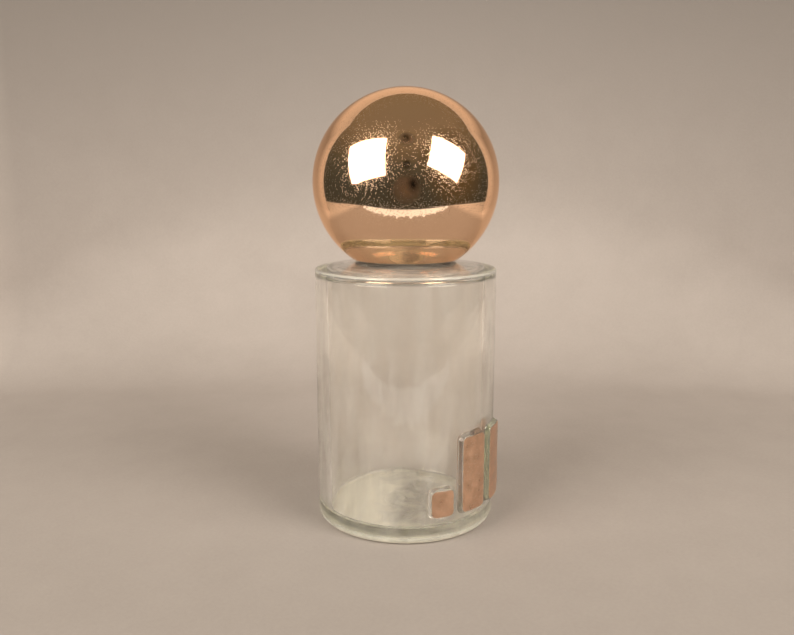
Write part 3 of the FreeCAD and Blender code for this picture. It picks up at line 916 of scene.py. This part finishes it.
def paper_material():
    """Warm grey background paper with a faint mottle, painted shade in parts and painted light at its
    margin.
    """
    n = Nodes("background_paper")
    place = n.place(scale=(1, 1, 1))
    mottle = n.noise(place, 45.0, detail=6.0, roughness=0.65)
    fibre = n.noise(place, 900.0, detail=3.0)
    blend = n.math("ADD", n.math("MULTIPLY", mottle, 0.6), n.math("MULTIPLY", fibre, 0.4))
    base = n.mix(n.span(blend, 0.3, 0.7), colour(0.405, 0.361, 0.339), colour(0.452, 0.405, 0.383))
    height = n.add("SeparateXYZ", {"Vector": place}).outputs["Z"]
    # painted shade: the paper darkened in a band up its wall and on its floor away from one place
    # behind the bottle
    base = n.mix(painted_paper_shade(n, place, height), base, colour(0.262, 0.234, 0.219))
    # painted light: the paper's sides and top made paler
    base = n.mix(painted_paper_margin_light(n, place, height), base, colour(0.640, 0.570, 0.535))
    shader = n.add("BsdfPrincipled", {
        "Base Color": base,
        "Roughness": 0.85,
        "Specular IOR Level": 0.2,
        "Normal": n.bump(fibre, 0.05 * MM),
    })
    n.surface(shader.outputs[0])
    return n.material


def front_edge(share):
    """Where the paper's front edge lies, towards the camera, across its half width."""
    return FRONT_REACH - FRONT_BOW * abs(share) ** 3.2


def wall_back(share):
    """How far behind the bottle the upright paper stands."""
    return WALL_AWAY - WALL_BOW * share ** 2


def bend_size(share):
    """The radius of the paper's bend, which tightens towards its sides."""
    return BEND_RADIUS - BEND_TIGHTER * share ** 2


def top_edge(share):
    """The height of the paper's upper edge."""
    return TOP_HEIGHT - TOP_BOW * share ** 2 - TOP_TILT * share


def sheet_between(name, rows, material):
    """A sheet through rows of points: right of, towards and above from the camera."""
    columns = len(rows[0])
    verts = [tuple(from_camera(*point)) for row in rows for point in row]
    faces = []
    for row in range(len(rows) - 1):
        for column in range(columns - 1):
            a = row * columns + column
            faces.append([a, a + 1, a + columns + 1, a + columns])
    mesh = bpy.data.meshes.new(name)
    mesh.from_pydata(verts, [], faces)
    sheet = bpy.data.objects.new(name, mesh)
    bpy.context.scene.collection.objects.link(sheet)
    sheet.data.materials.append(material)
    return sheet


def make_stage():
    """A paper sweep: a bowed front edge, flat under the bottle, curving up round the back."""
    shares = np.linspace(-1, 1, SWEEP_COLUMNS).tolist()
    front = [Vector((FLOOR_HALF * u, front_edge(u), PAPER_Z)) for u in shares]
    start = [Vector((WALL_HALF * u, bend_size(u) - wall_back(u), PAPER_Z)) for u in shares]
    rows = []
    for step in range(FLOOR_ROWS + 1):
        rows.append([near.lerp(far, (step / FLOOR_ROWS) ** 0.8) for near, far in zip(front, start)])
    for step in range(1, BEND_ROWS + 1):
        angle = math.radians(90) * step / BEND_ROWS
        rows.append([place + bend_size(u) * Vector((0, -math.sin(angle), 1 - math.cos(angle)))
                     for u, place in zip(shares, start)])
    for step in range(1, WALL_ROWS + 1):
        rows.append([(WALL_HALF * u, -wall_back(u),
                      bend_size(u) + (top_edge(u) - bend_size(u)) * step / WALL_ROWS)
                     for u in shares])
    sheet = sheet_between("paper_sweep", rows, paper_material())
    sheet.data.shade_smooth()


# ---------------------------------------------------------------- what only reflections show
STRIP_STEPS = 80
STRIP_HALF = 0.178
STRIP_TIP = 0.180
STRIP_NEAR = 0.174
STRIP_FAR = 0.170
STRIP_WIDTH = 0.036
STRIP_BOW = 0.030
STRIP_NEAR_Z = 0.004
STRIP_FAR_Z = 0.0006
# painted light: how brightly the strip glows
STRIP_PAINTED_GLOW = 0.5

DARK = colour(0.012, 0.010, 0.009)
DIM = colour(0.060, 0.048, 0.038)
BROWN = colour(0.720, 0.560, 0.450)

# name, middle (right, toward, up), half width and half height, tone
PROPS = (
    ("camera_body", (0.038, 0.262, 0.094), (0.040, 0.052), DARK),
    ("camera_hood", (0.006, 0.300, 0.215), (0.034, 0.036), DIM),
    ("stand", (0.0, 0.38, 0.61), (0.060, 0.130), DIM),
    ("board", (0.010, 0.50, 0.030), (0.210, 0.220), BROWN),
    ("upper_board", (0.014, 0.40, 0.63), (0.120, 0.190), BROWN),
)


def reflected_only(thing):
    """Hide a stage thing from the camera and from looking through the glass."""
    thing.visible_camera = False
    thing.visible_transmission = False
    thing.visible_shadow = False
    thing.visible_diffuse = False


def prop_material(name, tone, reach=None, painted_glow=0.0):
    """A plain stage surface with a little mottle, fading out at its rim if given a reach, and glowing
    with painted light if asked to.
    """
    n = Nodes(name)
    mottle = n.noise(n.place(scale=(1, 1, 1)), 60.0, detail=3.0)
    shade = colour(tone[0] * 0.8, tone[1] * 0.8, tone[2] * 0.8)
    inputs = {"Base Color": n.mix(mottle, shade, tone), "Roughness": 0.7}
    if reach:
        place = n.place(scale=(1 / reach[0], 1, 1 / reach[1]))
        rim = n.add("VectorMath", {0: place}, operation="LENGTH").outputs["Value"]
        inputs["Alpha"] = n.span(rim, 0.15, 1.0, 1.0, 0.0)
    # painted light: the surface glows though it is no lamp
    if painted_glow:
        inputs["Emission Color"] = tone
        inputs["Emission Strength"] = painted_glow
    n.surface(n.add("BsdfPrincipled", inputs).outputs[0])
    return n.material


def make_strip():
    """A pale strip along the paper's front, with a ragged far edge, glowing with painted light."""
    near, far = [], []
    for step in range(STRIP_STEPS + 1):
        side = -STRIP_HALF + 2 * STRIP_HALF * step / STRIP_STEPS
        bow = STRIP_BOW * (side / STRIP_HALF) ** 2
        taper = 1 - (side / STRIP_TIP) ** 2
        ragged = 0.005 * math.sin(side * 310) + 0.004 * math.sin(side * 790 + 1)
        ragged += 0.004 * math.sin(side * 1570 + 2)
        edge = STRIP_FAR - STRIP_WIDTH * taper ** 0.5 - bow + ragged * taper
        near.append((side, STRIP_NEAR - bow, STRIP_NEAR_Z))
        far.append((side, edge, STRIP_FAR_Z))
    # painted light: the card glows though it is no lamp
    card = prop_material("white_card_painted_glow", colour(0.86, 0.88, 0.92), painted_glow=STRIP_PAINTED_GLOW)
    reflected_only(sheet_between("white_strip_painted_glow", [near, far], card))


def make_disc(name, middle, reach, tone):
    """An upright shape before the bottle, square to the camera and soft at its rim."""
    maker = bmesh.new()
    bmesh.ops.create_circle(maker, cap_ends=True, segments=64, radius=1.0)
    bmesh.ops.rotate(maker, matrix=Matrix.Rotation(math.radians(90), 3, "X"), verts=maker.verts)
    bmesh.ops.scale(maker, vec=(reach[0], 1, reach[1]), verts=maker.verts)
    mesh = bpy.data.meshes.new(name)
    maker.to_mesh(mesh)
    maker.free()
    disc = bpy.data.objects.new(name, mesh)
    bpy.context.scene.collection.objects.link(disc)
    disc.location = from_camera(*middle)
    disc.rotation_euler = (0, 0, CAMERA_AZIMUTH)
    disc.data.materials.append(prop_material(name, tone, reach=reach))
    reflected_only(disc)


def make_props():
    """Things before the bottle that only its reflections show."""
    make_strip()
    for name, middle, reach, tone in PROPS:
        make_disc(name, middle, reach, tone)


# ---------------------------------------------------------------- light and room
SOFTBOX_AWAY = 0.69
SOFTBOX_SPREAD = math.radians(116)
SOFTBOX_AIM = (0.0, -0.20, 0.03)
SOFTBOX_COLOUR = (1.0, 0.93, 0.82)

# name, azimuth and elevation from the camera's side, width, height, roll, power
SOFTBOXES = (
    ("softbox_left", math.radians(-52.9), math.radians(24.3), 0.58, 0.545, math.radians(-15), 2.62),
    ("softbox_right", math.radians(56.2), math.radians(25.6), 0.515, 0.45, math.radians(30), 2.36),
)

# the room's tone by the height of the direction: 0 is level and below, 1 is straight up
ROOM_BANDS = (
    (0.00, (0.060, 0.064, 0.052, 1.0)),
    (0.30, (0.085, 0.086, 0.066, 1.0)),
    (0.58, (0.165, 0.138, 0.090, 1.0)),
    (0.78, (0.235, 0.194, 0.128, 1.0)),
    (1.00, (0.235, 0.194, 0.132, 1.0)),
)
ROOM_WARM = (0.105, 0.078, 0.040, 1.0)
WARM_SIDE = (0.85, 0.45, 0.28)
WARM_FROM, WARM_FULL = 0.70, 0.95


def make_softbox(name, azimuth, elevation, width, height, roll, power):
    """A large soft light placed round the ball from the camera's side, aimed low behind the bottle."""
    data = bpy.data.lights.new(name, "AREA")
    data.shape = "RECTANGLE"
    data.size = width
    data.size_y = height
    data.spread = SOFTBOX_SPREAD
    data.energy = power
    data.color = SOFTBOX_COLOUR
    light = bpy.data.objects.new(name, data)
    bpy.context.scene.collection.objects.link(light)
    level = math.cos(elevation)
    away = from_camera(level * math.sin(azimuth), level * math.cos(azimuth), math.sin(elevation))
    light.location = Vector((0, 0, BALL_Z)) + away * SOFTBOX_AWAY
    back = (light.location - from_camera(*SOFTBOX_AIM)).normalized()
    side = Vector((0, 0, 1)).cross(-back).normalized()
    rise = (-back).cross(side)
    across = side * math.cos(roll) + rise * math.sin(roll)
    light.rotation_euler = Matrix((across, back.cross(across), back)).transposed().to_euler()
    light.visible_camera = False


def room_ramp(tree, where):
    """The room's tone by height, as a socket."""
    split = tree.nodes.new("ShaderNodeSeparateXYZ")
    tree.links.new(where, split.inputs[0])
    ramp = tree.nodes.new("ShaderNodeValToRGB")
    tree.links.new(split.outputs["Z"], ramp.inputs[0])
    elements = ramp.color_ramp.elements
    while len(elements) < len(ROOM_BANDS):
        elements.new(0.5)
    for element, (height, tone) in zip(elements, ROOM_BANDS):
        element.position = height
        element.color = tone
    return ramp.outputs["Color"]


def room_warmth(tree, where):
    """How far a direction faces the warm wall, as a socket."""
    facing = tree.nodes.new("ShaderNodeVectorMath")
    facing.operation = "DOT_PRODUCT"
    facing.inputs[1].default_value = from_camera(*WARM_SIDE)
    tree.links.new(where, facing.inputs[0])
    wall = tree.nodes.new("ShaderNodeMapRange")
    wall.inputs["From Min"].default_value = WARM_FROM
    wall.inputs["From Max"].default_value = WARM_FULL
    tree.links.new(facing.outputs["Value"], wall.inputs["Value"])
    return wall.outputs["Result"]


def make_room():
    """A dim room: a lit ceiling, darker walls and a warm wall to the right."""
    world = bpy.data.worlds.new("room")
    world.use_nodes = True
    tree = world.node_tree
    where = tree.nodes.new("ShaderNodeTexCoord").outputs["Generated"]
    blend = tree.nodes.new("ShaderNodeMix")
    blend.data_type = "RGBA"
    tree.links.new(room_warmth(tree, where), blend.inputs[0])
    tree.links.new(room_ramp(tree, where), blend.inputs[6])
    blend.inputs[7].default_value = ROOM_WARM
    tree.links.new(blend.outputs[2], tree.nodes["Background"].inputs["Color"])
    bpy.context.scene.world = world


# ---------------------------------------------------------------- the scene
make_camera()
make_stage()
for softbox in SOFTBOXES:
    make_softbox(*softbox)
make_room()
make_props()
make_glass()
copper = gilding_material()
for raised_bar in bar_list():
    make_film(raised_bar, copper)
make_ball(ball_material())
make_insert(plastic_material("insert_plastic", colour(0.86, 0.80, 0.73),
                             colour(0.78, 0.72, 0.65), 0.42, 0.25, 0.3))
make_liner(foam_material())
make_reducer(plastic_material("reducer_plastic", colour(0.82, 0.83, 0.81),
                              colour(0.74, 0.75, 0.73), 0.35, 0.3, 0.3))

scene = bpy.context.scene
scene.view_settings.view_transform = "Standard"
scene.cycles.max_bounces = 48
scene.cycles.transmission_bounces = 40
scene.cycles.glossy_bounces = 32
scene.cycles.transparent_max_bounces = 16
